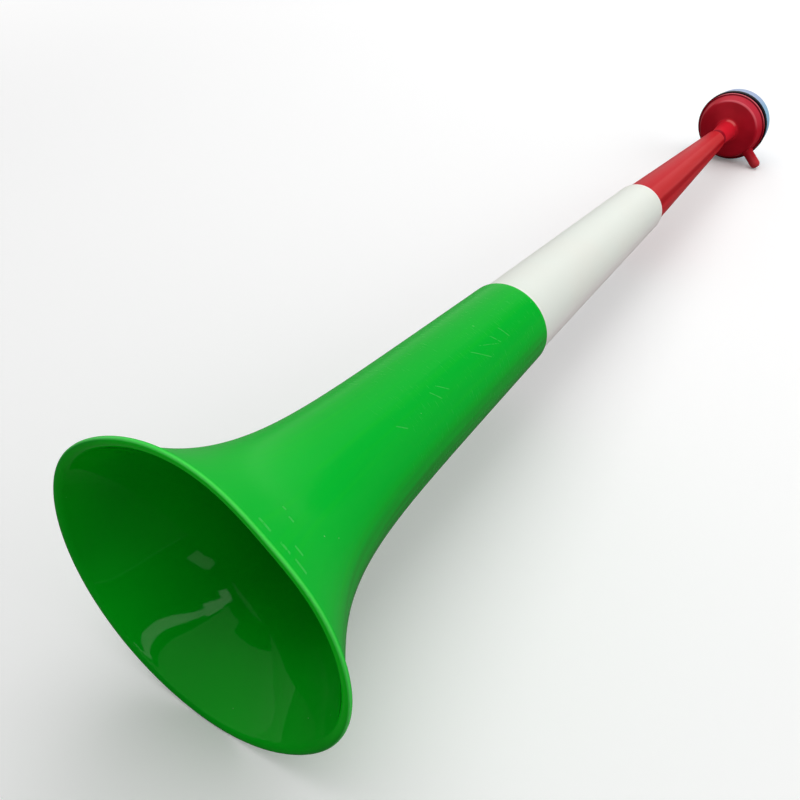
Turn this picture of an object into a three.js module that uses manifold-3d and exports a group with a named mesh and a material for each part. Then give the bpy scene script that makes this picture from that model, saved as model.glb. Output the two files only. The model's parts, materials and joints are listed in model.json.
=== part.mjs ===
// A collapsible stadium horn: a flared bell and two tapered tubes that slide into it, with a head that holds
// a diaphragm, which is blown through a nipple at its side. It lies on a surface as it would on a table, on
// the lip of its mouth, the rubber ring at its head and the tip of the nipple.
// Millimetres. Stations are distances from the mouth along the horn's axis.

import * as THREE from 'three';
import { mergeVertices } from 'three/addons/utils/BufferGeometryUtils.js';
import Module from 'manifold-3d';

const wasm = await Module();
wasm.setup();

// Fits and facets
const fitGap = 0.3;
const cutOverrun = 2;
const facets = 48;
const nippleFacets = 24;
const nippleTipSteps = 5;
const shoulderSteps = 4;

// Bell section
const mouthRadius = 62.5;
const bellLength = 207;
const bellEndRadius = 21.5;
const bellTaperShare = 0.0407;
const bellWall = 0.9;
const flareRadius = 60.2;
const flareReach = 31.4;
const flarePower = 1.27;
const flareSteps = 15;
const flareCrowding = 1.8;
const lipThickness = 1.6;

// Middle section
const middleEnd = 371.3;
const middleEndRadius = 15;
const middleWall = 0.9;
const middleOverlap = 20;

// Upper section
const upperEnd = 515;
const upperEndRadius = 6.9;
const upperWall = 0.9;
const upperOverlap = 18;

// Head cup
const spigotDepth = 20;
const neckReach = 27;
const neckRadius = 7;
const neckFillet = 1.5;
const cupWall = 1.2;
const soundBoreRadius = 4.5;
const shoulderRadius = 20.2;
const shoulderRounding = 1.6;
const coneDepth = 3;
const bandRadius = 22.6;
const bandDepth = 7.1;
const flangeRadius = 23.6;
const flangeThickness = 1.2;
const collarRadius = 20.6;

// Blow nipple of the head cup
const nippleReach = 36;
const nippleRadius = 3.45;
const nippleBoreRadius = 1.8;
const nippleRootRadius = 18;
const nippleRootSetback = 2.6;
const nippleLean = THREE.MathUtils.degToRad(12);

// Diaphragm
const filmThickness = 0.4;
const filmSkirt = 6;

// Rubber ring
const ringRadius = 24.4;
const ringThickness = 3.5;

// Cap
const capLength = 10.7;
const capWall = 1.8;
const capFace = 1.6;
const capEdge = 1;
const windowRadius = 15;

// Places that the sizes above give
const spigotRadius = upperEndRadius - upperWall - fitGap;
const spigotStart = upperEnd - spigotDepth;
const neckStart = upperEnd + fitGap;
const cupStart = upperEnd + neckReach;
const coneEnd = cupStart + coneDepth;
const flangeStart = coneEnd + bandDepth;
const flangeEnd = flangeStart + flangeThickness;
const ringStart = flangeEnd + fitGap;
const ringEnd = ringStart + ringThickness;
const capStart = ringEnd + fitGap;
const capEnd = capStart + capLength;
const filmEnd = capEnd - capFace - fitGap;
const filmStart = filmEnd - filmThickness;
const collarEnd = filmStart - fitGap;
const filmInnerRadius = collarRadius + fitGap;
const filmOuterRadius = filmInnerRadius + filmThickness;
const capInnerRadius = filmOuterRadius + fitGap;
const capOuterRadius = capInnerRadius + capWall;

// The surface touches the lip's rear edge and the ring's rear edge, each on a facet's middle
const facetShare = Math.cos(Math.PI / facets);
const tilt = Math.atan2((mouthRadius - ringRadius) * facetShare, ringEnd - lipThickness);

// Radius of the circle round the axis that would just touch the surface at a station
function restingRadius(station) {
  return mouthRadius * facetShare - (station - lipThickness) * Math.tan(tilt);
}

function plastic(color, roughness) {
  return new THREE.MeshStandardMaterial({ color, roughness, metalness: 0 });
}

// A lathe form from [radius, station] pairs that run up the outside and back down the inside
function turnedGeometry(profile, segments = facets) {
  const points = profile.map(([radius, station]) => new THREE.Vector2(radius, station));
  return new THREE.LatheGeometry(points, segments, Math.PI / segments);
}

function closed(profile) {
  return [...profile, profile[0]];
}

function piece(name, geometry, material) {
  const mesh = new THREE.Mesh(geometry, material);
  mesh.name = name;
  return mesh;
}

function toSolid(geometry) {
  const bare = geometry.clone();
  bare.deleteAttribute('normal');
  bare.deleteAttribute('uv');
  const merged = mergeVertices(bare);
  const corners = merged.index.array;
  const kept = [];
  for (let i = 0; i < corners.length; i += 3) {
    const [a, b, c] = [corners[i], corners[i + 1], corners[i + 2]];
    if (a !== b && b !== c && c !== a) kept.push(a, b, c);
  }
  return new wasm.Manifold(new wasm.Mesh({
    numProp: 3,
    vertProperties: new Float32Array(merged.attributes.position.array),
    triVerts: new Uint32Array(kept),
  }));
}

function toGeometry(solid) {
  const mesh = solid.getMesh();
  const geometry = new THREE.BufferGeometry();
  geometry.setAttribute('position', new THREE.BufferAttribute(mesh.vertProperties, 3));
  geometry.setIndex(new THREE.BufferAttribute(mesh.triVerts, 1));
  geometry.computeVertexNormals();
  return geometry;
}

// The bell's outside is a straight taper plus a flare that dies away from the mouth as a stretched exponential
const flareRise = flareRadius - bellEndRadius - bellTaperShare * bellLength;

function bellOuter(station) {
  const flare = flareRise * Math.exp(-((station / flareReach) ** flarePower));
  return bellEndRadius + bellTaperShare * (bellLength - station) + flare;
}

// The inside lies one wall in from it, square to the slope
function bellInner(station) {
  const flare = flareRise * Math.exp(-((station / flareReach) ** flarePower));
  const fall = (flare * flarePower / flareReach) * (station / flareReach) ** (flarePower - 1);
  return bellOuter(station) - bellWall * Math.hypot(1, bellTaperShare + fall);
}

function bellSection() {
  const stations = [];
  for (let i = 0; i <= flareSteps; i += 1) {
    stations.push(lipThickness + (bellLength - lipThickness) * (i / flareSteps) ** flareCrowding);
  }
  const outside = stations.map((station) => [bellOuter(station), station]);
  const inside = stations.map((station) => [bellInner(station), station]).reverse();
  const lip = [[flareRadius - bellWall, 0], [mouthRadius, 0], [mouthRadius, lipThickness]];
  return piece('bell_section', turnedGeometry(closed([...lip, ...outside, ...inside])), plastic(0x1cc83f, 0.3));
}

// A tapered tube whose large end lies along the bore of the piece that holds it
function slidingTube(seatRadius, seatStation, seatTaperShare, overlap, endRadius, endStation, wall) {
  const large = [seatRadius + seatTaperShare * overlap, seatStation - overlap];
  const seat = [seatRadius, seatStation];
  const end = [endRadius, endStation];
  const inner = ([radius, station]) => [radius - wall, station];
  return turnedGeometry(closed([large, seat, end, inner(end), inner(seat), inner(large)]));
}

const middleSeatRadius = bellInner(bellLength) - fitGap;
const middleTaperShare = (middleSeatRadius - middleEndRadius) / (middleEnd - bellLength);
const upperSeatRadius = middleEndRadius - middleWall - fitGap;

function middleSection() {
  const tube = slidingTube(
    middleSeatRadius, bellLength, bellTaperShare, middleOverlap, middleEndRadius, middleEnd, middleWall,
  );
  return piece('middle_section', tube, plastic(0xeef4ea, 0.42));
}

function upperSection() {
  const tube = slidingTube(
    upperSeatRadius, middleEnd, middleTaperShare, upperOverlap, upperEndRadius, upperEnd, upperWall,
  );
  return piece('upper_section', tube, plastic(0xc9303a, 0.35));
}

// The cup's rounded shoulder, an arc that leaves the cone's slope and joins the side band
function shoulderArc(coneSlope) {
  const first = Math.atan2(coneSlope, 1);
  const last = Math.atan2(bandDepth, bandRadius - shoulderRadius);
  const points = [];
  for (let i = 0; i <= shoulderSteps; i += 1) {
    const turn = first + (last - first) * (i / shoulderSteps);
    points.push([
      shoulderRadius - shoulderRounding * (1 - Math.sin(turn)),
      coneEnd + shoulderRounding * (Math.cos(first) - Math.cos(turn)),
    ]);
  }
  return points;
}

function cupShell() {
  const coneSlope = coneDepth / (shoulderRadius - neckRadius);
  const floor = (radius) => [
    radius,
    cupStart + coneSlope * (radius - neckRadius) + cupWall * Math.hypot(1, coneSlope),
  ];
  const chamberRadius = collarRadius - cupWall;
  return turnedGeometry(closed([
    [spigotRadius, spigotStart],
    [spigotRadius, neckStart],
    [neckRadius, cupStart - neckFillet],
    [neckRadius + neckFillet, cupStart + coneSlope * neckFillet],
    ...shoulderArc(coneSlope),
    [bandRadius, flangeStart],
    [flangeRadius, flangeStart],
    [flangeRadius, flangeEnd],
    [collarRadius, flangeEnd],
    [collarRadius, collarEnd],
    [chamberRadius, collarEnd],
    [chamberRadius, flangeStart],
    floor(chamberRadius - shoulderRounding),
    floor(spigotRadius),
    [spigotRadius, collarEnd],
    [soundBoreRadius, collarEnd],
    [soundBoreRadius, spigotStart],
  ]));
}

// Turns a form that stands on the axis out to the nipple's root, pointing along the nipple
function aimed(geometry, turn) {
  const outward = new THREE.Vector3(Math.sin(turn), 0, Math.cos(turn));
  const along = outward.clone().multiplyScalar(Math.cos(nippleLean));
  along.y = -Math.sin(nippleLean);
  const root = outward.clone().multiplyScalar(nippleRootRadius);
  root.y = flangeStart - nippleRootSetback + nippleRootDrop();
  const frame = new THREE.Matrix4().compose(
    root,
    new THREE.Quaternion().setFromUnitVectors(new THREE.Vector3(0, 1, 0), along),
    new THREE.Vector3(1, 1, 1),
  );
  return geometry.clone().applyMatrix4(frame);
}

// How much nearer the head the root lies than the nipple does at the flange's radius
function nippleRootDrop() {
  return (flangeRadius - nippleRootRadius) * Math.tan(nippleLean);
}

// The nipple's length, from its root to the tip at its full reach
const nippleLength = (nippleReach - nippleRadius - nippleRootRadius) / Math.cos(nippleLean) + nippleRadius;

// The turn round the axis at which the nipple's round tip touches the surface, straight down if it can't reach
function nippleTurn() {
  const tipRadius = nippleReach - nippleRadius;
  const tipStation = flangeStart - nippleRootSetback - (tipRadius - flangeRadius) * Math.tan(nippleLean);
  const drop = restingRadius(tipStation) - nippleRadius / Math.cos(tilt);
  return Math.PI - Math.acos(Math.min(1, drop / tipRadius));
}

function headCup() {
  const turn = nippleTurn();
  const tip = [];
  for (let i = 0; i <= nippleTipSteps; i += 1) {
    const angle = (Math.PI / 2) * (i / nippleTipSteps);
    tip.push([nippleRadius * Math.cos(angle), nippleLength - nippleRadius * (1 - Math.sin(angle))]);
  }
  tip[nippleTipSteps][0] = 0;
  const nipple = turnedGeometry([[0, 0], [nippleRadius, 0], ...tip], nippleFacets);
  const bore = turnedGeometry([
    [0, -cutOverrun],
    [nippleBoreRadius, -cutOverrun],
    [nippleBoreRadius, nippleLength + cutOverrun],
    [0, nippleLength + cutOverrun],
  ], nippleFacets);
  const solid = toSolid(cupShell()).add(toSolid(aimed(nipple, turn))).subtract(toSolid(aimed(bore, turn)));
  return piece('head_cup', toGeometry(solid), plastic(0xb4222f, 0.28));
}

function diaphragm() {
  const skirtStart = filmStart - filmSkirt;
  const film = turnedGeometry([
    [0, filmStart],
    [filmInnerRadius, filmStart],
    [filmInnerRadius, skirtStart],
    [filmOuterRadius, skirtStart],
    [filmOuterRadius, filmEnd],
    [0, filmEnd],
  ]);
  return piece('diaphragm', film, plastic(0xe6e8e6, 0.35));
}

function rubberRing() {
  const inner = collarRadius + fitGap;
  const ring = turnedGeometry(closed([
    [inner, ringStart],
    [ringRadius, ringStart],
    [ringRadius, ringEnd],
    [inner, ringEnd],
  ]));
  return piece('rubber_ring', ring, plastic(0x141216, 0.6));
}

function cap() {
  const faceStart = capEnd - capFace;
  const form = turnedGeometry(closed([
    [capInnerRadius, capStart],
    [capOuterRadius, capStart],
    [capOuterRadius, capEnd - capEdge],
    [capOuterRadius - capEdge, capEnd],
    [windowRadius, capEnd],
    [windowRadius, faceStart],
    [capInnerRadius, faceStart],
  ]));
  return piece('cap', form, plastic(0xa9c4da, 0.4));
}

// The lathe forms stand along Y; the axis is laid along X and its head end is let down by the tilt
const axis = new THREE.Group();
axis.rotation.z = -Math.PI / 2;
axis.add(
  bellSection(), middleSection(), upperSection(), headCup(), diaphragm(), rubberRing(), cap(),
);

const horn = new THREE.Group();
horn.rotation.y = tilt;
horn.add(axis);

const part = new THREE.Group();
part.add(horn);
part.updateMatrixWorld(true);
const extent = new THREE.Box3().setFromObject(part, true);
const middle = extent.getCenter(new THREE.Vector3());
horn.position.set(-middle.x, -middle.y, -extent.min.z);

export default part;
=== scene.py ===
import json
import math
from functools import cached_property

import bpy
import numpy as np
from bpy.props import FloatProperty, FloatVectorProperty, IntProperty, PointerProperty
from mathutils import Euler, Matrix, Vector


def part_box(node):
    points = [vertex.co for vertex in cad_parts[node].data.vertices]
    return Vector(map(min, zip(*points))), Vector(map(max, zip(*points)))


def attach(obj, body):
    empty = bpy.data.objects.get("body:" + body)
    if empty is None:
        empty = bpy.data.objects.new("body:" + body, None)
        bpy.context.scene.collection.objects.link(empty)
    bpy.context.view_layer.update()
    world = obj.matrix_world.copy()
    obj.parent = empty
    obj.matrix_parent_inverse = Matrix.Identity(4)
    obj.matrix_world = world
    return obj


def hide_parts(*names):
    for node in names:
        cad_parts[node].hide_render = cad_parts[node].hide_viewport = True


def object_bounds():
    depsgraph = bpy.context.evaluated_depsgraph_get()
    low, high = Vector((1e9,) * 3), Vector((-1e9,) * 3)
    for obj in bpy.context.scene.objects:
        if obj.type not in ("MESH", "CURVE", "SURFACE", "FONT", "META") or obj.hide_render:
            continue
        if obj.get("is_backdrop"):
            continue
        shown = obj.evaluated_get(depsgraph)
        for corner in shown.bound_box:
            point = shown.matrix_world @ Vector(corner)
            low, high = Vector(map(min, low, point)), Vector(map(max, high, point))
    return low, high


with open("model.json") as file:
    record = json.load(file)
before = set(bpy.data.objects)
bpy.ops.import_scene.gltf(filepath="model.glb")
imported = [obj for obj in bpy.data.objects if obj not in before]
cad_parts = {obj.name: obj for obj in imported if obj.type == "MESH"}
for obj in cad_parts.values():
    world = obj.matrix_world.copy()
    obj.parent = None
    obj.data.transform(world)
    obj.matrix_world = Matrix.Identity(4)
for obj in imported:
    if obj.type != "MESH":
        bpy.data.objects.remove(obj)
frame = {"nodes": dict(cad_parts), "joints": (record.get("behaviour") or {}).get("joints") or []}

bl_info = {
    "name": "Telescopic Stadium Horn",
    "version": (1, 0, 0),
    "blender": (4, 5, 0),
    "location": "View3D > Sidebar > Horn",
    "description": "A plastic horn with a flared bell, two sliding tubes and a diaphragm head",
    "category": "Add Mesh",
}

MM = 0.001
HEAD_TURNS = 192
NIPPLE_TURNS = 64
SMOOTH_ANGLE = math.radians(40)

# The bend that counts as a full edge, in radians per metre
EDGE_BEND = 1.0 / (0.8 * MM)

# The horn's own frame: stations run along the axis from the mouth to the head
joints = {joint["name"]: joint for joint in frame["joints"]}
AXIS = np.array(joints["head_pull"]["axis"])
AXIS = AXIS / np.linalg.norm(AXIS)
SIDE = np.array([0.0, 1.0, 0.0])
UP = np.cross(AXIS, SIDE)
TILT = math.atan2(-AXIS[2], AXIS[0])


def mouth_centre():
    """The centre of the mouth: one rim radius in from the bell's highest and rearmost corners."""
    low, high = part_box("bell_section")
    return np.array([low.x + high.y * UP[0], 0.0, high.z - high.y * UP[2]])


MOUTH = mouth_centre()
HORN_LINE = (MOUTH, AXIS, UP, SIDE)


def node_corners(node):
    """A CAD node's corners, as an array of points."""
    return np.array([vertex.co[:] for vertex in frame["nodes"][node].data.vertices])


def stations_and_radii(points):
    """Each point's station along the axis and its distance from the axis."""
    offset = points - MOUTH
    station = offset @ AXIS
    return station, np.linalg.norm(offset - np.outer(station, AXIS), axis=1)


def node_span(node):
    """The first and the last station of a CAD node."""
    station, _ = stations_and_radii(node_corners(node))
    return station.min(), station.max()


def facet_share():
    """How near the axis the flats of the CAD rings lie, as a share of their corners' radius."""
    _, radius = stations_and_radii(node_corners("bell_section"))
    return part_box("bell_section")[1].y / radius.max()


FLAT = facet_share()


def node_rings(node):
    """A turned CAD node's rings: rows of station, inner and outer radius, inside its flats."""
    station, radius = stations_and_radii(node_corners(node))
    radius = radius * FLAT
    rounded_station = np.round(station, 5)
    rows = []
    for level in np.unique(rounded_station):
        at_level = radius[rounded_station == level]
        rows.append((level, at_level.min(), at_level.max()))
    return rows


# Shapes


def rounded(corners, steps=7):
    """A closed outline through corners of (station, radius, rounding).

    A corner C with rounding d becomes the parabola (1-t)^2 A + 2t(1-t) C + t^2 B, with A and B the
    points a distance d from C along its two sides. A corner without rounding stays a point.
    """
    places = np.array([corner[:2] for corner in corners], float)
    t = np.linspace(0.0, 1.0, steps)[:, None]
    outline = []
    for index, (_, _, rounding) in enumerate(corners):
        corner = places[index]
        if rounding == 0:
            outline.append(corner[None])
            continue
        before = places[index - 1] - corner
        after = places[(index + 1) % len(places)] - corner
        start = corner + before * (rounding / np.linalg.norm(before))
        end = corner + after * (rounding / np.linalg.norm(after))
        outline.append((1 - t) ** 2 * start + 2 * t * (1 - t) * corner + t ** 2 * end)
    return np.concatenate(outline)


def outward(outline):
    """The closed outline in the order that makes its turned faces point outwards.

    The sum of x_i y_(i+1) - x_(i+1) y_i is negative for it, with x the station and y the radius.
    """
    x, y = outline.T
    turned_area = np.sum(x * np.roll(y, -1) - np.roll(x, -1) * y)
    return outline if turned_area < 0 else outline[::-1]


def line_along(origin, direction):
    """A line for ring_points: an origin, a direction and two directions square to it."""
    side = np.cross(UP, direction)
    side = side / np.linalg.norm(side)
    return origin, direction, np.cross(direction, side), side


def ring_points(outline, turns, line):
    """Points at origin + station axis + radius (cos(a) up + sin(a) side), a = 2 pi j / turns."""
    origin, axis, up, side = line
    angle = np.arange(turns) * (2 * math.pi / turns)
    spoke = np.cos(angle)[:, None] * up + np.sin(angle)[:, None] * side
    return origin + outline[:, 0, None, None] * axis + outline[:, 1, None, None] * spoke[None]


def grid_quads(rows, turns, closed):
    """Quads between neighbouring rows and columns of a grid whose columns close on themselves."""
    row = np.arange(rows if closed else rows - 1)[:, None]
    column = np.arange(turns)[None]
    next_row = (row + 1) % rows
    next_column = (column + 1) % turns
    corners = [
        row * turns + column,
        next_row * turns + column,
        next_row * turns + next_column,
        row * turns + next_column,
    ]
    return np.stack(np.broadcast_arrays(*corners), -1).reshape(-1, 4)


def outline_traits(outline, closed):
    """For each outline point, how far it faces out and how sharply the outline bends there.

    The first is the radial part of the outline's normal, from 1 outside to -1 inside. The second
    is the bend between the point's two steps, over their mean length and over EDGE_BEND.
    """
    if closed:
        before, after = outline - np.roll(outline, 1, 0), np.roll(outline, -1, 0) - outline
    else:
        steps = np.diff(outline, axis=0)
        before, after = np.vstack([steps[:1], steps]), np.vstack([steps, steps[-1:]])
    along = before + after
    along = along / np.maximum(np.linalg.norm(along, axis=1, keepdims=True), 1e-12)
    length = (np.linalg.norm(before, axis=1) + np.linalg.norm(after, axis=1)) / 2
    cross = before[:, 0] * after[:, 1] - before[:, 1] * after[:, 0]
    bend = np.arctan2(cross, np.sum(before * after, axis=1)) / np.maximum(length, 1e-9)
    return along[:, 0], np.clip(-bend / EDGE_BEND, 0.0, 1.0)


def mesh_object(name, points, faces, traits=None):
    """A shaded mesh object from an array of points, a list of faces and point attributes."""
    mesh = bpy.data.meshes.new(name)
    mesh.from_pydata(points.reshape(-1, 3), [], faces)
    for trait, values in (traits or {}).items():
        attribute = mesh.attributes.new(trait, "FLOAT", "POINT")
        attribute.data.foreach_set("value", values.astype(np.float32))
    mesh.polygons.foreach_set("use_smooth", np.ones(len(mesh.polygons), bool))
    mesh.set_sharp_from_angle(angle=SMOOTH_ANGLE)
    piece = bpy.data.objects.new(name, mesh)
    bpy.context.scene.collection.objects.link(piece)
    return piece


def turned(name, outline, turns, shape=None):
    """A ring-shaped piece: a closed outline carried round the horn's axis, then shaped."""
    outline = outward(outline)
    facing, edge = outline_traits(outline, closed=True)
    traits = {"outside": np.repeat(facing, turns), "edge": np.repeat(edge, turns)}
    quads = grid_quads(len(outline), turns, closed=True)
    points = ring_points(outline, turns, HORN_LINE)
    return mesh_object(name, shape(points) if shape else points, quads.tolist(), traits)


def capped(name, outline, turns, line=HORN_LINE):
    """A solid piece: an outline from pole to pole carried round a line, with fans at the poles."""
    outline = outward(outline)
    facing, edge = outline_traits(outline, closed=False)
    inner = outline[1:-1]
    points = ring_points(inner, turns, line).reshape(-1, 3)
    poles = line[0] + outline[[0, -1], 0, None] * line[1]
    first, last = len(points), len(points) + 1
    column = np.arange(turns)
    following = (column + 1) % turns
    base = (len(inner) - 1) * turns
    faces = grid_quads(len(inner), turns, closed=False).tolist()
    faces += np.stack([np.full(turns, first), column, following], 1).tolist()
    faces += np.stack([base + column, np.full(turns, last), base + following], 1).tolist()
    traits = {
        "outside": np.append(np.repeat(facing[1:-1], turns), facing[[0, -1]]),
        "edge": np.append(np.repeat(edge[1:-1], turns), edge[[0, -1]]),
    }
    return mesh_object(name, np.concatenate([points, poles]), faces, traits)


def combined(piece, other, operation):
    """The piece after a boolean with another object, which is then removed."""
    modifier = piece.modifiers.new(operation.lower(), "BOOLEAN")
    modifier.operation = operation
    modifier.solver = "EXACT"
    modifier.object = other
    bpy.context.view_layer.update()
    evaluated = piece.evaluated_get(bpy.context.evaluated_depsgraph_get())
    mesh = bpy.data.meshes.new_from_object(evaluated)
    piece.modifiers.clear()
    piece.data = mesh
    bpy.data.objects.remove(other)
    return piece


def install(piece, node, body, material):
    """Puts the fine piece in the place of its CAD node, on that node's body."""
    piece.data.materials.clear()
    piece.data.materials.append(material)
    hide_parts(node)
    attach(piece, body)


# Shader expressions


class Value:
    """A shader socket in an expression, where each operator adds its Math node."""

    def __init__(self, nodes, socket):
        self.nodes = nodes
        self.socket = socket

    def output(self, name):
        """Another output of the same node."""
        return Value(self.nodes, self.socket.node.outputs[name])

    def __add__(self, other):
        return self.nodes.math("ADD", self, other)

    def __sub__(self, other):
        return self.nodes.math("SUBTRACT", self, other)

    def __rsub__(self, other):
        return self.nodes.math("SUBTRACT", other, self)

    def __mul__(self, other):
        return self.nodes.math("MULTIPLY", self, other)

    def __truediv__(self, other):
        return self.nodes.math("DIVIDE", self, other)

    def __pow__(self, other):
        return self.nodes.math("POWER", self, other)

    def __abs__(self):
        return self.nodes.math("ABSOLUTE", self)

    __radd__ = __add__
    __rmul__ = __mul__


class Nodes:
    """A node tree, with one method that adds every node."""

    def __init__(self, tree):
        self.tree = tree

    def node(self, kind, settings=None, sockets=None, output=0):
        """Adds a node with settings, and values or links for its sockets, and gives an output."""
        made = self.tree.nodes.new(kind)
        for key, value in (settings or {}).items():
            setattr(made, key, value)
        for key, value in (sockets or {}).items():
            if isinstance(value, Value):
                self.link(value, made.inputs[key])
            else:
                made.inputs[key].default_value = value
        return Value(self, made.outputs[output])

    def link(self, value, socket):
        self.tree.links.new(value.socket, socket)

    def math(self, operation, *values):
        return self.node("ShaderNodeMath", {"operation": operation}, dict(enumerate(values)))

    def seen(self):
        """One where the camera, gloss or glass looks, and nothing where matt surfaces do."""
        path = self.node("ShaderNodeLightPath", output="Is Camera Ray")
        seen = path
        for name in ("Is Glossy Ray", "Is Transmission Ray"):
            seen = self.math("MAXIMUM", seen, path.output(name))
        return seen


class Finish(Nodes):
    """One material: its nodes, its Principled shader, its tone and the horn's coordinates."""

    def __init__(self, name, **fixed):
        self.material = bpy.data.materials.new(name)
        self.material.use_nodes = True
        super().__init__(self.material.node_tree)
        self.shader = self.tree.nodes["Principled BSDF"]
        for socket, value in fixed.items():
            self.shader.inputs[socket.replace("_", " ")].default_value = value
        self.horn = self.node("ShaderNodeMapping", {"vector_type": "TEXTURE"}, {
            "Vector": self.node("ShaderNodeTexCoord", output="Object"),
            "Location": tuple(MOUTH),
            "Rotation": (0.0, TILT, 0.0),
        })
        self.station = self.node("ShaderNodeSeparateXYZ", None, {0: self.horn})
        self.side = self.station.output(1)
        self.up = self.station.output(2)
        self.radius = (self.side * self.side + self.up * self.up) ** 0.5

    @cached_property
    def turn(self):
        """The angle round the axis, from the top towards +Y."""
        return self.math("ARCTAN2", self.side, self.up)

    @cached_property
    def outside(self):
        """One where the surface faces away from the axis, nothing where it faces the axis."""
        return self.step(self.trait("outside"), -0.2, 0.2)

    @cached_property
    def edge(self):
        """How sharply the outline bends, from nothing to one."""
        return self.trait("edge")

    def trait(self, name):
        """A point attribute of the piece."""
        return self.node("ShaderNodeAttribute", {"attribute_name": name}, output=2)

    def vector(self, x, y, z):
        return self.node("ShaderNodeCombineXYZ", None, {0: x, 1: y, 2: z})

    def noise(self, vector, scale, detail=3.0, roughness=0.5):
        sockets = {"Vector": vector, "Scale": scale, "Detail": detail, "Roughness": roughness}
        return self.node("ShaderNodeTexNoise", None, sockets)

    def step(self, value, low, high, floor=0.0, top=1.0):
        """A smooth step: floor where the value is below low, top above high."""
        sockets = {0: value, "From Min": low, "From Max": high, "To Min": floor, "To Max": top}
        return self.node("ShaderNodeMapRange", {"interpolation_type": "SMOOTHSTEP"}, sockets)

    def fade(self, value, low, high):
        """A smooth step down: one where the value is below low, nothing above high."""
        return self.step(value, low, high, 1.0, 0.0)

    def window(self, value, centre, half, soft):
        """One inside centre +- half, falling to nothing over the soft width outside it."""
        return self.fade(abs(value - centre), half, half + soft)

    def mix(self, factor, first, second):
        """A blend of two colours, each an expression or red, green and blue."""
        first, second = (
            item if isinstance(item, Value) else (*item, 1.0) for item in (first, second)
        )
        sockets = {0: factor, 6: first, 7: second}
        return self.node("ShaderNodeMix", {"data_type": "RGBA"}, sockets, output=2)

    def coat(self, factor, rgb):
        """Lays a colour over the tone so far."""
        self.tone = self.mix(factor, self.tone, rgb)

    def complete(self, roughness, height, distance, strength):
        """Links the tone, the roughness and a bump of the height, and gives the material."""
        sockets = {"Height": height, "Distance": distance, "Strength": strength}
        bump = self.node("ShaderNodeBump", None, sockets)
        return self.feed(Base_Color=self.tone, Roughness=roughness, Normal=bump)

    def feed(self, **sockets):
        """Links values to the shader's own sockets."""
        for socket, value in sockets.items():
            self.link(value, self.shader.inputs[socket.replace("_", " ")])
        return self.material

    def mark(self, station, first, last, width, slant):
        """One scratch from the first turn to the last, in degrees, thin along the axis."""
        first, last = math.radians(first), math.radians(last)
        middle = (first + last) / 2
        line = self.station - slant * (self.turn - middle)
        length = abs(last - first) / 2
        across = self.window(line, station, width / 2, width)
        return across * self.window(self.turn, middle, length, length / 4)

    def hoops(self, fineness, length, along=None):
        """Places drawn out round the axis, for the noise of scuffs.

        They are (along fineness, cos(turn) length, sin(turn) length), so nothing shows a seam.
        """
        cosine, sine = self.up / self.radius, self.side / self.radius
        return self.vector((along or self.station) * fineness, cosine * length, sine * length)

    def scuffs(self, fineness, length, low, high, along=None):
        """Fine scuffs round the axis, from nothing to one."""
        return self.step(self.noise(self.hoops(fineness, length, along), 1.0, 4.0, 0.6), low, high)

    def towards(self, turn):
        """The cosine of the angle between a point's turn and the given one, which shows no seam."""
        return (self.up * math.cos(turn) + self.side * math.sin(turn)) / self.radius


def grey(shade):
    return (shade, shade, shade)


def scaled(rgb, *shares):
    """A colour with its parts times their shares."""
    return tuple(part * share for part, share in zip(rgb, shares))


# Sizes and colours a user would change


def number(name, description, default):
    return FloatProperty(name=name, description=description, default=default)


def millimetres(name, description, default):
    """A length property, with its default in millimetres."""
    return FloatProperty(
        name=name, description=description, default=default * MM, unit="LENGTH", precision=5,
    )


def degrees(name, description, default):
    """An angle property, with its default in degrees."""
    return FloatProperty(
        name=name, description=description, default=math.radians(default), unit="ROTATION",
    )


def paint(name, description, rgb):
    """A colour property."""
    return FloatVectorProperty(
        name=name, description=description, subtype="COLOR", default=rgb, min=0, max=1,
    )


class HornSizes(bpy.types.PropertyGroup):
    """Sizes of the fine surfaces beyond what the frame gives."""

    turns: IntProperty(name="Turns", description="Faces round each piece", default=256, min=48)
    flare_radius: millimetres("Flare radius", "Outer radius of the flare under the lip", 60.2)
    flare_reach: millimetres("Flare reach", "Distance over which the flare dies away", 31.4)
    flare_power: number("Flare power", "How suddenly the flare opens", 1.27)
    taper_share: number("Taper share", "Radius lost per length of bell", 0.0407)
    lip_thickness: millimetres("Lip thickness", "Thickness of the lip round the mouth", 1.6)
    lip_roll: millimetres("Lip roll", "Rounding of the lip's inner edge", 2)
    wall: millimetres("Wall", "Wall of the bell", 0.9)
    edge: millimetres("Edge", "Rounding of the moulded edges", 0.3)


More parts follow.
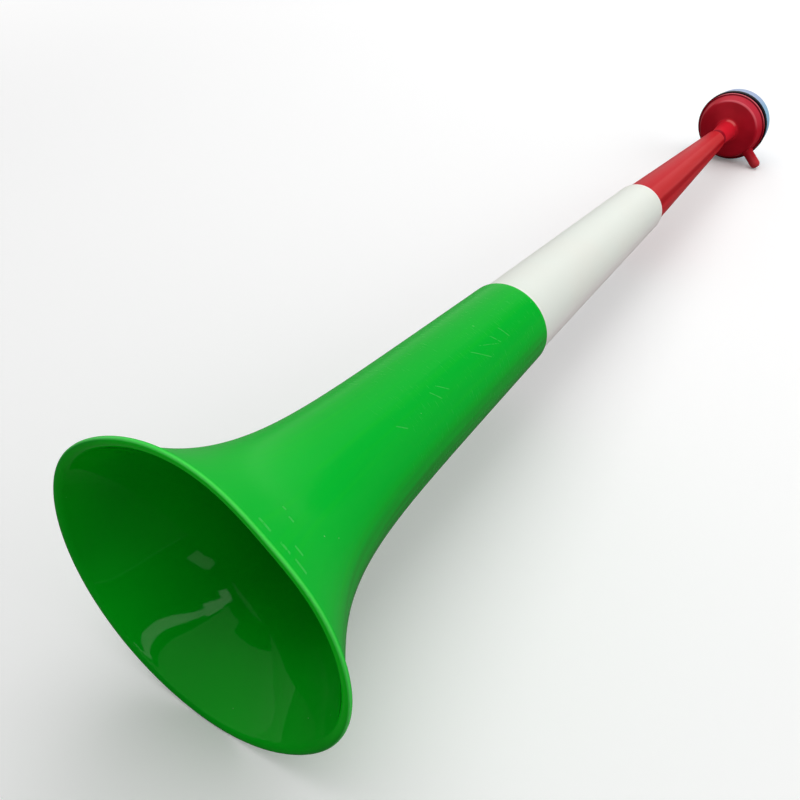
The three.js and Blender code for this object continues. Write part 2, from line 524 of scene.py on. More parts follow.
class HeadSizes(bpy.types.PropertyGroup):
    """Sizes of the head: radii, and lengths along its axis."""

    spigot_radius: millimetres("Spigot radius", "Part of the neck that sits in the upper tube", 5.7)
    spigot_length: millimetres("Spigot length", "Depth of the spigot in the upper tube", 20.3)
    neck_radius: millimetres("Neck radius", "Neck where it meets the cup", 7)
    neck_length: millimetres("Neck length", "From the spigot's end to the cup", 47)
    shoulder_radius: millimetres("Shoulder radius", "Outer edge of the cup's cone", 20.2)
    shoulder_depth: millimetres("Shoulder depth", "Depth of the cup's cone", 3)
    band_radius: millimetres("Band radius", "Side of the cup at the flange", 22.6)
    band_depth: millimetres("Band depth", "Depth of the cup's side", 7.1)
    flange_radius: millimetres("Flange radius", "Flange in front of the rubber ring", 23.6)
    flange_thickness: millimetres("Flange thickness", "Thickness of the flange", 1.2)
    collar_radius: millimetres("Collar radius", "Collar under the cap", 20.6)
    wall: millimetres("Wall", "Wall of the cup", 1.2)
    bore_radius: millimetres("Bore radius", "Bore that carries the sound", 4.5)
    nipple_radius: millimetres("Nipple radius", "Blow nipple", 3.45)
    nipple_bore: millimetres("Nipple bore", "Radius of the nipple's bore", 1.8)
    nipple_root: millimetres("Nipple root", "Distance from the axis at which the nipple starts", 18)
    nipple_lean: degrees("Nipple lean", "How far the nipple leans towards the bell", 12)
    window_radius: millimetres("Window radius", "Window in the cap's face", 15)
    cap_wall: millimetres("Cap wall", "Wall of the cap", 1.8)
    cap_face: millimetres("Cap face", "Thickness of the cap's face", 1.6)
    film_thickness: millimetres("Film thickness", "Thickness of the diaphragm", 0.4)
    film_gap: millimetres("Film gap", "Clearance on either side of the diaphragm's skirt", 0.3)


class HornColours(bpy.types.PropertyGroup):
    """Base colours of the plastics, the rubber and the film."""

    green: paint("Green", "Bell", (0.002, 0.5, 0.014))
    white: paint("White", "Middle tube", (0.86, 0.90, 0.83))
    red: paint("Red", "Upper tube", (0.58, 0.014, 0.022))
    deep_red: paint("Deep red", "Head", (0.47, 0.006, 0.018))
    black: paint("Black", "Rubber ring", (0.006, 0.005, 0.008))
    blue: paint("Pale blue", "Cap", (0.32, 0.43, 0.62))
    film: paint("Film", "Diaphragm", (0.74, 0.76, 0.74))


class HornStage(bpy.types.PropertyGroup):
    """Camera, lamps and floor."""

    lens: number("Lens", "Focal length in millimetres", 39.876)
    eye: FloatVectorProperty(
        name="Eye", description="Place of the camera", subtype="TRANSLATION", unit="LENGTH",
        default=(-0.386630, -0.155655, 0.286208), precision=5,
    )
    azimuth: degrees("Azimuth", "Turn of the view round the vertical", -55.0371)
    elevation: degrees("Elevation", "How far the view looks down", 39.2871)
    roll: degrees("Roll", "Turn of the camera about its own view", 1.545)
    sky: number("Sky", "Strength of the even surroundings on matt surfaces", 0.25)
    key: number("Key", "Brightness of the large lamp overhead", 1.2)
    back: number("Back", "Brightness of the lamp behind the head", 1.5)
    fill: number("Fill", "Brightness of the lamp at the near side", 1.6)
    sheen: number("Sheen", "Brightness of the back lamp as gloss sees it", 0.6)
    pane: number("Pane", "Brightness of the wide panes seen in the bell", 1.7)
    slit: number("Slit", "Brightness of the narrow panes seen in the bell", 7.5)
    glint: number("Glint", "Brightness of the small pane seen in the bell", 3.3)
    floor_shade: number("Floor shade", "Grey of the floor as it is seen", 0.95)
    floor_glow: number("Floor glow", "White added to the floor as it is seen", 0.1)
    floor_bounce: number("Floor bounce", "Grey of the floor as it lights the horn", 0.3)
    fade_centre: millimetres("Fade centre", "Station round which the floor fades into white", 300)
    fade_start: millimetres("Fade start", "Distance at which the floor starts to fade", 450)
    fade_end: millimetres("Fade end", "Distance beyond which the floor is white", 1100)


# Materials


# Turns round which the cap's lilac and the painted light and shade are centred, in radians from the
# top towards +Y
TOP = 0.0
CAMERA_SIDE = -0.35
PAINTED_GLOW_SIDE = 0.3
LIP_HIGHLIGHT_SIDE = -0.7
LILAC_SIDE = 0.77
PAINTED_SHEEN_SIDE = -0.72

# The red tube's dark streak: its turn at a station, and the turn that it loses per metre
STREAK_TURN = -1.2
STREAK_STATION = 435 * MM
STREAK_SLANT = 1.5

# Scratches on the bell, in mm and degrees: station, first and last turn, width, slant per radian
SCRATCHES = (
    (7.6, -30.3, -34.9, 0.5, 0),
    (7.8, -39.9, -43.8, 0.5, 0),
    (8.1, -46.7, -51.4, 0.45, 0),
    (21.7, -31.1, -32.7, 0.4, 0),
    (20.5, -35.6, -38.1, 0.4, 0),
    (12.7, -44.2, -47.8, 0.4, 0),
    (154.2, -33.2, -49.1, 0.28, -28.8),
    (162.1, -33.9, -44.0, 0.25, -53.9),
    (175.5, -32.8, -45.8, 0.25, -10.1),
    (167.9, -33.7, -44.6, 0.25, -15.8),
    (117.3, -36.2, -45.9, 0.25, -18.3),
    (123.0, -35.0, -44.2, 0.25, -27.4),
    (92.4, -38.5, -45.0, 0.3, -31.7),
    (164.6, -12.2, -14.2, 0.4, 0),
)


def green_plastic(colours, end):
    """Glossy green plastic: wavy, scuffed and scratched, with painted light inside and at the lip,
    painted shade below, and a worn end edge that is also a painted highlight.
    """
    finish = Finish("green_plastic", Specular_IOR_Level=0.045)
    slow = finish.noise(finish.horn, 16.0, 2.0)
    flow = finish.noise(finish.hoops(9.0, 14.0), 1.0, 3.0, 0.6)
    rubbed = finish.window(finish.station, 150 * MM, 40 * MM, 30 * MM) * 0.8 + 0.08
    scuffs = finish.scuffs(2600.0, 5.0, 0.6, 0.74) * rubbed * finish.outside
    scratches = 0.0
    for station, first, last, width, slant in SCRATCHES:
        scratches += finish.mark(station * MM, first, last, width * MM, slant * MM)
    broken = finish.step(finish.noise(finish.horn, 900.0, 2.0), 0.3, 0.5)
    scratches = scratches * broken * finish.outside
    specks = finish.step(finish.noise(finish.horn, 700.0, 1.0, 0.3), 0.85, 0.865)
    base = tuple(colours.green)
    # The inside's tone (within) is a lighter copy of the green, which is painted light; slow noise
    # mixes it with a deeper green, and the outside is coated bluer
    within = scaled(base, 1.0, 1.15, 1.0)
    deeper = scaled(base, 0.5, 0.97, 0.8)
    fresh = scaled(base, 3.0, 1.08, 1.3)
    pale = (0.3, 0.8, 0.34)
    finish.tone = finish.mix(finish.step(slow, 0.3, 0.7), within, deeper)
    finish.coat(finish.outside, scaled(base, 1.0, 1.0, 2.2))
    finish.coat(finish.step(flow, 0.45, 0.7) * 0.3 * finish.outside, fresh)
    # Painted shade: the underside is darkened towards olive, with streaks that are painted
    # reflections
    below = finish.fade(finish.towards(TOP), -0.08, 0.45) * finish.outside
    shade_streaks = finish.step(finish.noise(finish.hoops(14.0, 9.0), 1.0, 2.0, 0.55), 0.3, 0.7)
    finish.coat(below * (0.3 + 0.3 * shade_streaks), (0.02, 0.17, 0.02))
    # The end edge is paled both as wear and as a painted highlight
    worn_and_highlit_end = finish.step(finish.station, end - 1.5 * MM, end - 0.2 * MM) * finish.edge
    finish.coat(worn_and_highlit_end * 0.8, pale)
    # Painted light: a bright green glow inside, near the mouth, round one side
    glow = finish.fade(finish.station, 2 * MM, 16 * MM) * (1.0 - finish.outside)
    finish.coat(glow * finish.step(finish.towards(PAINTED_GLOW_SIDE), 0.0, 0.9) * 0.45, (0.0, 0.8, 0.005))
    # Painted highlight: a bright green line along the lip, round one side
    lip = finish.fade(finish.station, 0.5 * MM, 1.6 * MM)
    finish.coat(lip * finish.step(finish.towards(LIP_HIGHLIGHT_SIDE), 0.1, 0.8) * 0.85, (0.0, 0.95, 0.01))
    # Painted highlight on the lip's outer bead
    painted_bead_highlight = finish.fade(finish.station, 0.7 * MM, 1.5 * MM)
    finish.coat(painted_bead_highlight * finish.step(finish.trait("outside"), 0.1, 0.6) * 0.75, (0.1, 0.8, 0.13))
    finish.coat(scuffs * 0.09, pale)
    finish.coat(scratches * 0.15, pale)
    finish.coat(specks * 0.4, (0.6, 0.8, 0.6))
    polish = 0.03 + 0.02 * slow + (0.17 + 0.06 * flow) * finish.outside
    roughness = polish + 0.25 * scuffs + 0.25 * scratches
    waves = finish.noise(finish.horn, 45.0, 1.0)
    streaks = finish.noise(finish.hoops(12.0, 30.0), 1.0, 2.0, 0.5) * finish.outside
    height = waves * 0.8 + streaks * 0.25 + scuffs * 0.04 - scratches * 0.15
    return finish.complete(roughness, height, 0.3 * MM, 0.5)


def white_plastic(colours, end):
    """Satin white plastic: faint hoop scuffs, painted light that makes the underside lighter and
    warmer, and a painted highlight at the small end.
    """
    finish = Finish("white_plastic", Specular_IOR_Level=0.15)
    slow = finish.noise(finish.horn, 22.0, 2.0)
    scuffs = finish.scuffs(2200.0, 4.0, 0.6, 0.76)
    base = tuple(colours.white)
    finish.tone = finish.mix(finish.step(slow, 0.3, 0.7), base, scaled(base, 1.01, 0.975, 0.97))
    finish.coat(scuffs * 0.25, scaled(base, 0.9, 0.9, 0.88))
    # Painted light: the underside, away from the lit side, is made lighter and warmer
    finish.coat(finish.fade(finish.towards(CAMERA_SIDE), -0.1, 0.7), (1.0, 0.925, 0.91))
    # Painted highlight round the small end's edge
    painted_end_highlight = finish.step(finish.station, end - 1.5 * MM, end - 0.6 * MM)
    finish.coat(painted_end_highlight * 0.9, (1.0, 0.92, 0.87))
    roughness = 0.36 + 0.1 * slow + 0.15 * scuffs
    height = finish.noise(finish.horn, 70.0, 1.0) * 0.5 + scuffs * 0.06
    return finish.complete(roughness, height, 0.2 * MM, 0.4)


def red_plastic(colours):
    """Glossy red plastic of the upper tube: hoop scuffs, a painted sheen along one side and a dark
    streak.
    """
    finish = Finish("red_plastic", Specular_IOR_Level=0.03)
    slow = finish.noise(finish.horn, 30.0, 2.0)
    scuffs = finish.scuffs(2600.0, 3.0, 0.58, 0.74)
    pale = (0.7, 0.13, 0.12)
    finish.tone = tuple(colours.red)
    finish.coat(scuffs * 0.07, pale)
    # Painted sheen: a paler band along the tube on its lit side
    finish.coat(finish.window(finish.turn, PAINTED_SHEEN_SIDE, 0.3, 0.14) * 0.22, pale)
    line = finish.turn + STREAK_SLANT * (finish.station - STREAK_STATION)
    streak = finish.window(line, STREAK_TURN, 0.06, 0.16) * finish.outside
    finish.coat(streak * (0.7 + 0.3 * slow), (0.38, 0.0, 0.005))
    roughness = 0.28 + 0.06 * slow + 0.1 * scuffs
    height = finish.noise(finish.horn, 90.0, 1.0) * 0.5 + scuffs * 0.06
    return finish.complete(roughness, height, 0.18 * MM, 0.4)


def deep_red_plastic(colours, head, start):
    """Glossy deep red plastic: painted light on the neck and nipple, a painted sheen and highlight
    on the shoulder's upper side, a painted glint at the neck's root, and painted shade where the
    neck leaves the tube and in the flange groove.
    """
    joint = start + head.spigot_length
    cup = start + head.neck_length
    flange = cup + head.shoulder_depth + head.band_depth
    finish = Finish("deep_red_plastic", Specular_IOR_Level=0.05)
    radius = finish.radius
    slow = finish.noise(finish.horn, 60.0, 2.0)
    grain = finish.noise(finish.horn, 1500.0, 2.0)
    base = tuple(colours.deep_red)
    finish.tone = finish.mix(finish.step(slow, 0.35, 0.75), base, scaled(base, 1.25, 1.6, 1.4))
    # Painted light: the thin neck is made a brighter red
    neck = finish.fade(radius, head.neck_radius + 0.4 * MM, head.neck_radius + 2.4 * MM)
    finish.coat(neck * 0.8, (0.72, 0.014, 0.03))
    # Painted shade where the neck comes out of the upper tube
    seam = finish.window(finish.station, joint + 2.5 * MM, 2.5 * MM, 1.5 * MM) * finish.outside
    finish.coat(seam * 0.7, (0.16, 0.0, 0.01))
    # Painted sheen over the upper side of the shoulder and band, and a painted highlight on the
    # shoulder's edge
    above = finish.step(finish.towards(CAMERA_SIDE), 0.423, 0.941)
    shoulder = finish.step(radius, head.shoulder_radius - 1.2 * MM, head.shoulder_radius - 0.2 * MM)
    painted_upper_sheen = above * shoulder * finish.outside
    finish.coat(painted_upper_sheen * 0.45, (0.75, 0.05, 0.09))
    finish.coat(painted_upper_sheen * finish.edge * 1.8, (0.95, 0.2, 0.24))
    # Painted highlight: a pale glint where the neck meets the cup, on the lit side
    root = finish.window(radius, head.neck_radius + 0.1 * MM, 0.2 * MM, 0.7 * MM)
    root = root * finish.step(finish.station, cup - 3 * MM, cup - 1 * MM) * finish.outside
    finish.coat(root * finish.step(finish.towards(CAMERA_SIDE), 0.8, 0.98) * 0.5, (1.0, 0.3, 0.27))
    # Painted light: the nipple is made a brighter red
    nipple = finish.step(radius, head.flange_radius + MM, head.flange_radius + 9 * MM)
    finish.coat(nipple * 0.5, (0.75, 0.07, 0.08))
    # Painted shade in the groove between the band and the flange
    groove_shade = finish.window(finish.station, flange - 0.2 * MM, 0.3 * MM, 0.4 * MM)
    groove_shade = groove_shade * finish.fade(radius, head.band_radius + 0.5 * MM, head.band_radius + 0.8 * MM)
    finish.coat(groove_shade * shoulder * 0.7, (0.12, 0.0, 0.01))
    height = finish.noise(finish.horn, 140.0, 1.0) * 0.5 + grain * 0.03
    return finish.complete(0.24 + 0.1 * slow, height, 0.15 * MM, 0.4)


def black_rubber(colours):
    """Matt black rubber with a fine grain and a little dust."""
    finish = Finish("black_rubber", Specular_IOR_Level=0.08)
    grain = finish.noise(finish.horn, 2200.0, 3.0)
    dust = finish.step(finish.noise(finish.horn, 260.0, 3.0), 0.55, 0.8)
    finish.tone = finish.mix(dust * 0.25, tuple(colours.black), (0.05, 0.048, 0.05))
    return finish.complete(0.5 + 0.2 * dust, grain, 0.06 * MM, 0.5)


def pale_blue_plastic(colours):
    """Satin pale blue plastic of the cap: lilac on one side, faint hoop scuffs."""
    finish = Finish("pale_blue_plastic", Specular_IOR_Level=0.15)
    slow = finish.noise(finish.horn, 50.0, 2.0)
    scuffs = finish.scuffs(3000.0, 3.0, 0.6, 0.75, finish.station + finish.radius)
    base = tuple(colours.blue)
    lilac = scaled(base, 1.2, 1.08, 1.13)
    sky = scaled(base, 0.8, 1.35, 1.3)
    finish.tone = finish.mix(finish.step(finish.towards(LILAC_SIDE), -0.48, 0.48), sky, lilac)
    finish.coat(finish.step(slow, 0.3, 0.7) * 0.5, base)
    finish.coat(scuffs * 0.2, (0.7, 0.78, 0.86))
    return finish.complete(0.34 + 0.1 * slow + 0.15 * scuffs, slow, 0.15 * MM, 0.3)


def stretched_film(colours):
    """Thin stretched film: milky, with tension wrinkles that run in from its edge."""
    finish = Finish("stretched_film", Specular_IOR_Level=0.5)
    cosine = finish.up / (finish.radius + MM)
    sine = finish.side / (finish.radius + MM)
    spokes = finish.noise(finish.vector(cosine * 9.0, sine * 9.0, finish.radius * 40.0), 1.0, 2.0)
    cloud = finish.noise(finish.horn, 120.0, 3.0)
    outer = finish.step(finish.radius, 8 * MM, 20 * MM)
    base = tuple(colours.film)
    finish.tone = finish.mix(cloud * 0.5, base, scaled(base, 0.86, 0.87, 0.88))
    return finish.complete(0.22 + 0.15 * cloud, spokes * outer, 0.25 * MM, 0.5)


# Pieces


def bell_outside(station, sizes, length, end_radius):
    """The bell's outer radius: end radius + taper + rise exp(-(station / reach) ^ power)."""
    rise = sizes.flare_radius - end_radius - sizes.taper_share * length
    flare = rise * np.exp(-((station / sizes.flare_reach) ** sizes.flare_power))
    return end_radius + sizes.taper_share * (length - station) + flare


def bell_outline(sizes):
    """The bell's closed outline: the lip, the flare's outside, the small end and the inside.

    The inside is the outside moved in by the wall, square to the curve, by numerical slopes.
    """
    rings = node_rings("bell_section")
    mouth_radius = rings[0][2]
    length, _, end_radius = rings[-1]
    share = np.linspace(0.0, 1.0, 90)
    station = sizes.lip_thickness + (length - sizes.lip_thickness) * share ** 1.7
    outer = bell_outside(station, sizes, length, end_radius)
    slope = np.gradient(outer, station)
    inner = outer - sizes.wall * np.hypot(1.0, slope)
    lip = rounded([
        (station[3], inner[3], 0),
        (0.0, inner[0] - slope[0] * sizes.lip_thickness, sizes.lip_roll),
        (0.0, mouth_radius, 3 * sizes.edge),
        (sizes.lip_thickness, mouth_radius, sizes.edge),
        (sizes.lip_thickness, outer[0], 1.2 * sizes.edge),
        (station[3], outer[3], 0),
    ], 9)
    end = rounded([
        (station[-2], outer[-2], 0),
        (length, end_radius, sizes.edge),
        (length, end_radius - sizes.wall, sizes.edge),
        (station[-2], inner[-2], 0),
    ])
    outside = np.stack([station[4:-2], outer[4:-2]], 1)
    inside = np.stack([station[4:-2], inner[4:-2]], 1)[::-1]
    return np.concatenate([lip, outside, end[1:-1], inside])


# How far along the bell a dent reaches
DENT_REACH = 30 * MM

# Where the mouth is pressed in: turn in degrees, spread in degrees, depth
RIM_DENTS = ((28, 25, 1.6 * MM), (-37, 18, 2.2 * MM), (-140, 25, 1.4 * MM))


def pressed_in(points):
    """The bell's points, moved towards the axis by its dents.

    Each is depth exp(-((turn - centre) / spread)^2) exp(-(station / DENT_REACH)^2), with the turn
    taken the short way.
    """
    offset = points - MOUTH
    station = offset @ AXIS
    spoke = offset - station[..., None] * AXIS
    spoke = spoke / np.linalg.norm(spoke, axis=-1, keepdims=True)
    turn = np.degrees(np.arctan2(spoke @ SIDE, spoke @ UP))
    depth = 0.0
    for centre, spread, deepest in RIM_DENTS:
        away = (turn - centre + 180) % 360 - 180
        depth = depth + deepest * np.exp(-((away / spread) ** 2))
    depth = depth * np.exp(-((station / DENT_REACH) ** 2))
    return points - depth[..., None] * spoke


def tube_outline(node, sizes):
    """A sliding tube's closed outline, through its CAD rings, with both ends rounded."""
    rings = node_rings(node)
    outside = [(station, outer, sizes.edge) for station, _, outer in rings]
    inside = [(station, inner, sizes.edge) for station, inner, _ in reversed(rings)]
    return rounded(outside + inside)


def head_outline(head, start, end):
    """The head's closed outline: neck, cone, shoulder, band, flange, collar, chamber and bore."""
    cup = start + head.neck_length
    shoulder = cup + head.shoulder_depth
    flange = shoulder + head.band_depth
    behind = flange + head.flange_thickness
    slope = head.shoulder_depth / (head.shoulder_radius - head.neck_radius)
    chamber = head.collar_radius - head.wall
    floor = cup + head.wall * math.hypot(1.0, slope) - slope * head.neck_radius
    floor_edge = chamber - 1.6 * MM
    return rounded([
        (start, head.spigot_radius, 0.4 * MM),
        (start + head.spigot_length, head.spigot_radius, 0.8 * MM),
        (cup, head.neck_radius, 1.6 * MM),
        (shoulder, head.shoulder_radius, 1.5 * MM),
        (flange, head.band_radius, 0.45 * MM),
        (flange, head.flange_radius, 0.4 * MM),
        (behind, head.flange_radius, 0.4 * MM),
        (behind, head.collar_radius, 0.2 * MM),
        (end, head.collar_radius, 0.4 * MM),
        (end, chamber, 0.4 * MM),
        (flange, chamber, 1.2 * MM),
        (floor + slope * floor_edge, floor_edge, 1.2 * MM),
        (floor + slope * head.spigot_radius, head.spigot_radius, 0.5 * MM),
        (end, head.spigot_radius, 0.3 * MM),
        (end, head.bore_radius, 0.3 * MM),
        (start, head.bore_radius, 0.3 * MM),
    ]) * (1.0, FLAT)


def nipple_line(head):
    """The nipple's root, direction and length, from the head's CAD corners beyond the flange.

    It points from the axis to the mean of the tip's corners, leans towards the bell and ends level
    with the farthest corner.
    """
    points = node_corners("head_cup")
    _, radius = stations_and_radii(points)
    beyond = radius > head.flange_radius + 2 * MM
    tip = points[radius > radius.max() - 1.5 * head.nipple_radius].mean(0)
    offset = tip - MOUTH
    spoke = offset - (offset @ AXIS) * AXIS
    spoke = spoke / np.linalg.norm(spoke)
    direction = spoke * math.cos(head.nipple_lean) - AXIS * math.sin(head.nipple_lean)
    reach = ((points[beyond] - tip) @ direction).max()
    length = (offset @ spoke - head.nipple_root) / math.cos(head.nipple_lean) + reach
    return tip + direction * (reach - length), direction, length


def nipple_outline(head, length):
    """The nipple's outline from its round tip, a quarter circle, to its root with a small foot."""
    angle = np.linspace(0.0, math.pi / 2, 10)
    radius = head.nipple_radius * FLAT
    tip = np.stack([length - radius * (1 - np.cos(angle)), radius * np.sin(angle)], 1)
    tip[0, 1] = 0.0
    along = np.linspace(length - radius, 0.0, 26)[1:]
    foot = 0.5 * MM * np.clip(1.0 - (along - 4.6 * MM) / (2.2 * MM), 0.0, 1.0) ** 2
    shank = np.stack([along, radius + foot], 1)
    return np.concatenate([tip, shank, [(0.0, 0.0)]])


def film_outline(head, start, end):
    """The diaphragm's outline, from its outer face's middle over the skirt to its inner face's."""
    inner = head.collar_radius + head.film_gap
    outer = inner + head.film_thickness
    face = end - head.film_thickness
    return rounded([
        (end, 0.0, 0),
        (end, outer, 0.9 * MM),
        (start, outer, 0.15 * MM),
        (start, inner, 0.15 * MM),
        (face, inner, 0.6 * MM),
        (face, 0.0, 0),
    ]) * (1.0, FLAT)


def cap_outline(head, start, end):
    """The cap's closed outline: a ring with a face that leaves a window open."""
    inner = head.collar_radius + 2 * head.film_gap + head.film_thickness
    outer = inner + head.cap_wall
    face = end - head.cap_face
    return rounded([
        (start, inner, 0.4 * MM),
        (start, outer, 0.5 * MM),
        (end, outer, 1.6 * MM),
        (end, head.window_radius, 0.6 * MM),
        (face, head.window_radius, 0.4 * MM),
        (face, inner, 0.5 * MM),
    ]) * (1.0, FLAT)


class HORN_OT_bell(bpy.types.Operator):
    """Make the flared bell with its lip"""

    bl_idname = "horn.bell"
    bl_label = "Bell"

    def execute(self, context):
        sizes = context.scene.horn_sizes
        bell = turned("bell", bell_outline(sizes), sizes.turns, shape=pressed_in)
        material = green_plastic(context.scene.horn_colours, node_span("bell_section")[1])
        install(bell, "bell_section", "bell", material)
        return {"FINISHED"}


class HORN_OT_tubes(bpy.types.Operator):
    """Make the two tapered tubes that slide into the bell"""

    bl_idname = "horn.tubes"
    bl_label = "Sliding Tubes"

    def execute(self, context):
        sizes = context.scene.horn_sizes
        colours = context.scene.horn_colours
        middle = turned("middle_tube", tube_outline("middle_section", sizes), sizes.turns)
        white = white_plastic(colours, node_span("middle_section")[1])
        install(middle, "middle_section", "middle", white)
        upper = turned("upper_tube", tube_outline("upper_section", sizes), sizes.turns)
        install(upper, "upper_section", "upper", red_plastic(colours))
        return {"FINISHED"}


class HORN_OT_rubber_ring(bpy.types.Operator):
    """Make the black rubber ring behind the flange"""

    bl_idname = "horn.rubber_ring"
    bl_label = "Rubber Ring"

    def execute(self, context):
        scene = context.scene
        outline = tube_outline("rubber_ring", scene.horn_sizes)
        ring = turned("sealing_ring", outline, scene.horn_sizes.turns)
        install(ring, "rubber_ring", "head", black_rubber(scene.horn_colours))
        return {"FINISHED"}


class HORN_OT_head(bpy.types.Operator):
    """Make the head: the cup with its neck and blow nipple"""

    bl_idname = "horn.head"
    bl_label = "Head"

    def execute(self, context):
        head = context.scene.horn_head
        start, end = node_span("head_cup")
        cup = turned("head_cup_fine", head_outline(head, start, end), HEAD_TURNS)
        root, direction, length = nipple_line(head)
        line = line_along(root, direction)
        nipple = capped("nipple", nipple_outline(head, length), NIPPLE_TURNS, line)
        first, last, radius = -2 * MM, length + 2 * MM, head.nipple_bore
        drill = np.array([(last, 0.0), (last, radius), (first, radius), (first, 0.0)])
        bore = capped("nipple_bore", drill, NIPPLE_TURNS, line)
        cup = combined(combined(cup, nipple, "UNION"), bore, "DIFFERENCE")
        cup.data.set_sharp_from_angle(angle=SMOOTH_ANGLE)
        material = deep_red_plastic(context.scene.horn_colours, head, start)
        install(cup, "head_cup", "head", material)
        return {"FINISHED"}


class HORN_OT_diaphragm(bpy.types.Operator):
    """Make the stretched film under the cap"""

    bl_idname = "horn.diaphragm"
    bl_label = "Diaphragm"

    def execute(self, context):
        scene = context.scene
        outline = film_outline(scene.horn_head, *node_span("diaphragm"))
        film = capped("film", outline, HEAD_TURNS)
        install(film, "diaphragm", "head", stretched_film(scene.horn_colours))
        return {"FINISHED"}


class HORN_OT_cap(bpy.types.Operator):
    """Make the pale blue cap"""

    bl_idname = "horn.cap"
    bl_label = "Cap"

    def execute(self, context):
        scene = context.scene
        outline = cap_outline(scene.horn_head, *node_span("cap"))
        cap = turned("cap_fine", outline, HEAD_TURNS)
        install(cap, "cap", "cap", pale_blue_plastic(scene.horn_colours))
        return {"FINISHED"}


class HORN_OT_stage(bpy.types.Operator):
    """Set the camera, the floor, the lamps and the even surroundings"""

    bl_idname = "horn.stage"
    bl_label = "Stage"

    def execute(self, context):
        stage = context.scene.horn_stage
        add_camera(context, stage)
        add_floor(stage)
        add_lamps(context, stage)
        add_cards()
        add_sky(context, stage)
        context.scene.view_settings.view_transform = "Standard"
        return {"FINISHED"}


def add_camera(context, stage):
    """A camera turned by the azimuth, tipped down by the elevation and rolled about its view."""
    data = bpy.data.cameras.new("camera")
    data.lens = stage.lens
    data.sensor_width = 36
    data.clip_start = 10 * MM
    camera = bpy.data.objects.new("camera", data)
    context.scene.collection.objects.link(camera)
    turn = Euler((math.pi / 2 - stage.elevation, 0, stage.azimuth), "XYZ").to_quaternion()
    roll = Euler((0, 0, -stage.roll), "XYZ").to_quaternion()
    camera.rotation_mode = "QUATERNION"
    camera.rotation_quaternion = turn @ roll
    camera.location = stage.eye
    context.scene.camera = camera


FLOOR_CORNERS = ((-6, -6), (6, -6), (6, 6), (-6, 6))


def level_points(course, height):
    """The points of a course of (x, y), all at one height."""
    return np.column_stack([course, np.full(len(course), height)])


def add_floor(stage):
    """A wide pale floor that shows the horn's shadow and fades into white further out."""
    low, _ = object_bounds()
    floor = mesh_object("floor", level_points(FLOOR_CORNERS, low.z), [(0, 1, 2, 3)])
    finish = Finish("floor", Roughness=0.9, Specular_IOR_Level=0.1, Emission_Strength=1.0)
    cloud = finish.noise(finish.horn, 3.0, 2.0)
    shade = finish.mix(cloud, grey(stage.floor_shade), grey(stage.floor_shade + 0.01))
    along = finish.station - stage.fade_centre
    distance = (along * along + finish.side * finish.side) ** 0.5
    far = finish.step(distance, stage.fade_start, stage.fade_end)
    black, white = grey(0.0), grey(1.0)
    seen = finish.seen()
    tone = finish.mix(seen, grey(stage.floor_bounce), finish.mix(far, shade, black))
    glow = finish.mix(seen, black, finish.mix(far, grey(stage.floor_glow), white))
    floor.data.materials.append(finish.feed(Base_Color=tone, Emission_Color=glow))
    floor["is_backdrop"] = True


# Lamps: their brightness in HornStage, size, place, target, seen by matt surfaces, seen by gloss
LAMPS = (
    ("key", (2.2, 2.0), (0.4, 0.2, 1.4), (0.4, 0.2, 0.0), True, True),
    ("back", (1.6, 0.9), (1.6, 0.55, 0.8), (0.1, 0.0, 0.05), True, False),
    ("sheen", (1.6, 0.9), (1.6, 0.55, 0.8), (0.1, 0.0, 0.05), False, True),
    ("fill", (1.6, 1.0), (0.45, -1.15, 0.5), (0.0, 0.0, 0.05), True, False),
    ("pane", (3.4, 1.9), (-1.5, 1.32, 1.27), (0.0, 1.32, 1.27), False, True),
    ("pane", (0.85, 0.5), (-1.5, 0.02, 2.47), (0.0, 0.02, 2.47), False, True),
    ("slit", (0.16, 0.9), (-1.5, -0.61, 1.27), (0.0, -0.61, 1.27), False, True),
    ("slit", (0.42, 0.8), (-1.5, -0.66, 2.1), (0.0, -0.66, 2.1), False, True),
    ("slit", (0.75, 0.7), (-1.5, -0.9, 2.85), (0.0, -0.9, 2.85), False, True),
    ("glint", (0.2, 0.7), (-0.93, -1.45, 0.88), (-0.2, 0.0, 0.03), False, True),
)

# The dark card's course over the floor and the grey mat's corners, seen only in reflections
CARD_COURSE = (
    (2.6, -0.35), (1.6, -0.95), (0.4, -1.35), (-0.8, -1.6), (-1.7, -2.4), (-1.75, 0.0),
    (-1.75, 3.6),
)
CARD_HEIGHT = 6.0
CARD_FOOT = 0.02
CARD_SHADE = 0.01
MAT_CORNERS = ((-1.6, -1.2), (0.8, -1.2), (0.8, 1.1), (-1.6, 1.1))
MAT_LIFT = 0.0005
MAT_SHADE = 0.2


def add_lamps(context, stage):
    """Large soft lamps; a lamp's watts are its brightness times its area times pi."""
    for name, (width, height), place, target, lights, shines in LAMPS:
        data = bpy.data.lights.new(name, "AREA")
        data.shape = "RECTANGLE"
        data.size = width
        data.size_y = height
        data.energy = getattr(stage, name) * width * height * math.pi
        lamp = bpy.data.objects.new(name, data)
        context.scene.collection.objects.link(lamp)
        lamp.visible_diffuse = lights
        lamp.visible_glossy = shines
        lamp.visible_camera = False
        lamp.location = place
        lamp.rotation_mode = "QUATERNION"
        lamp.rotation_quaternion = (Vector(target) - lamp.location).to_track_quat("-Z", "Y")


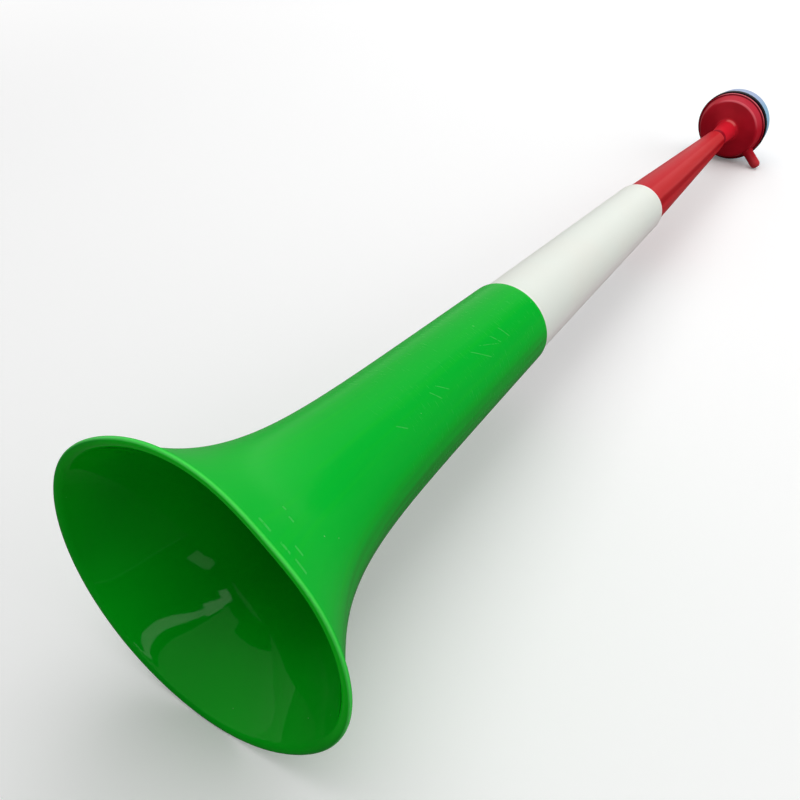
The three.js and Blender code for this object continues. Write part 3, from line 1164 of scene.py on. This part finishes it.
def gloss_only(name, points, faces, shade):
    """A clouded grey sheet that only gloss sees, to keep the plastics' reflections deep."""
    sheet = mesh_object(name, points, faces)
    finish = Finish(name, Roughness=1.0, Specular_IOR_Level=0.0)
    cloud = finish.noise(finish.horn, 4.0, 2.0)
    tone = finish.mix(cloud, grey(shade), grey(1.5 * shade))
    sheet.data.materials.append(finish.feed(Base_Color=tone))
    for kind in ("camera", "diffuse", "transmission", "volume_scatter", "shadow"):
        setattr(sheet, "visible_" + kind, False)
    sheet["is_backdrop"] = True


def add_cards():
    """A dark wall round the near side and a grey mat under the horn."""
    foot = level_points(CARD_COURSE, CARD_FOOT)
    points = np.concatenate([foot, foot + (0.0, 0.0, CARD_HEIGHT)])
    count = len(foot)
    walls = [(i, i + 1, count + i + 1, count + i) for i in range(count - 1)]
    gloss_only("dark_card", points, walls, CARD_SHADE)
    low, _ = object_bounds()
    gloss_only("grey_mat", level_points(MAT_CORNERS, low.z + MAT_LIFT), [(0, 1, 2, 3)], MAT_SHADE)


def add_sky(context, stage):
    """Even surroundings, pure white where the camera, gloss or glass sees them."""
    world = bpy.data.worlds.new("surroundings")
    context.scene.world = world
    world.use_nodes = True
    nodes = Nodes(world.node_tree)
    nodes.tree.nodes.remove(nodes.tree.nodes["Background"])
    even, white = (
        nodes.node("ShaderNodeBackground", None, {"Color": (1, 1, 1, 1), "Strength": strength})
        for strength in (stage.sky, 1.0)
    )
    mixed = nodes.node("ShaderNodeMixShader", None, {0: nodes.seen(), 1: even, 2: white})
    nodes.link(mixed, nodes.tree.nodes["World Output"].inputs["Surface"])


class HORN_PT_panel(bpy.types.Panel):
    """The horn's pieces and their sizes and colours"""

    bl_idname = "HORN_PT_panel"
    bl_label = "Stadium Horn"
    bl_space_type = "VIEW_3D"
    bl_region_type = "UI"
    bl_category = "Horn"

    def draw(self, context):
        layout = self.layout
        for operator in OPERATORS:
            layout.operator(operator.bl_idname)
        for settings, group in SETTINGS.items():
            box = layout.box()
            for name in group.__annotations__:
                box.prop(getattr(context.scene, settings), name)


OPERATORS = (
    HORN_OT_bell, HORN_OT_tubes, HORN_OT_head, HORN_OT_diaphragm, HORN_OT_rubber_ring, HORN_OT_cap,
    HORN_OT_stage,
)
SETTINGS = {
    "horn_sizes": HornSizes,
    "horn_head": HeadSizes,
    "horn_colours": HornColours,
    "horn_stage": HornStage,
}
CLASSES = (*SETTINGS.values(), *OPERATORS, HORN_PT_panel)


def register():
    for item in CLASSES:
        bpy.utils.register_class(item)
    for name, group in SETTINGS.items():
        setattr(bpy.types.Scene, name, PointerProperty(type=group))


def unregister():
    for name in SETTINGS:
        delattr(bpy.types.Scene, name)
    for item in reversed(CLASSES):
        bpy.utils.unregister_class(item)


def main():
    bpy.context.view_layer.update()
    register()
    bpy.ops.horn.bell()
    bpy.ops.horn.tubes()
    bpy.ops.horn.head()
    bpy.ops.horn.diaphragm()
    bpy.ops.horn.rubber_ring()
    bpy.ops.horn.cap()
    bpy.ops.horn.stage()


if __name__ == "__main__":
    main()
